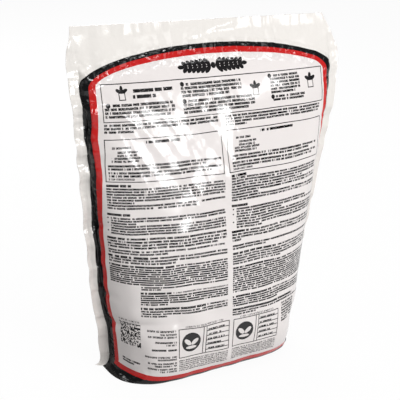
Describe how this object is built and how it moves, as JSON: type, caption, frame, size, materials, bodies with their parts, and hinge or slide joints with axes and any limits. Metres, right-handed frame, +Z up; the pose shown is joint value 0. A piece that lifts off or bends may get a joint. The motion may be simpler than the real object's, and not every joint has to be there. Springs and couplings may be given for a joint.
{
  "type": "compost bag",
  "caption": "Sealed pillow bag of potting compost in glossy white film, standing on its flattened base, with an arched black and red border and blocks of small print",
  "frame": {"origin": "middle of the bounding box's underside, on the floor that the bag stands on", "axes": "+Z up from the base to the top flap, +X along the width of the film, -Y towards the printed panel that the picture shows"},
  "size_m": [0.354, 0.1446, 0.4056],
  "materials": {
    "printed_film": "glossy printed polyethylene film"
  },
  "bodies": {
    "root": {"bag": "printed_film"}
  },
  "joints": []
}
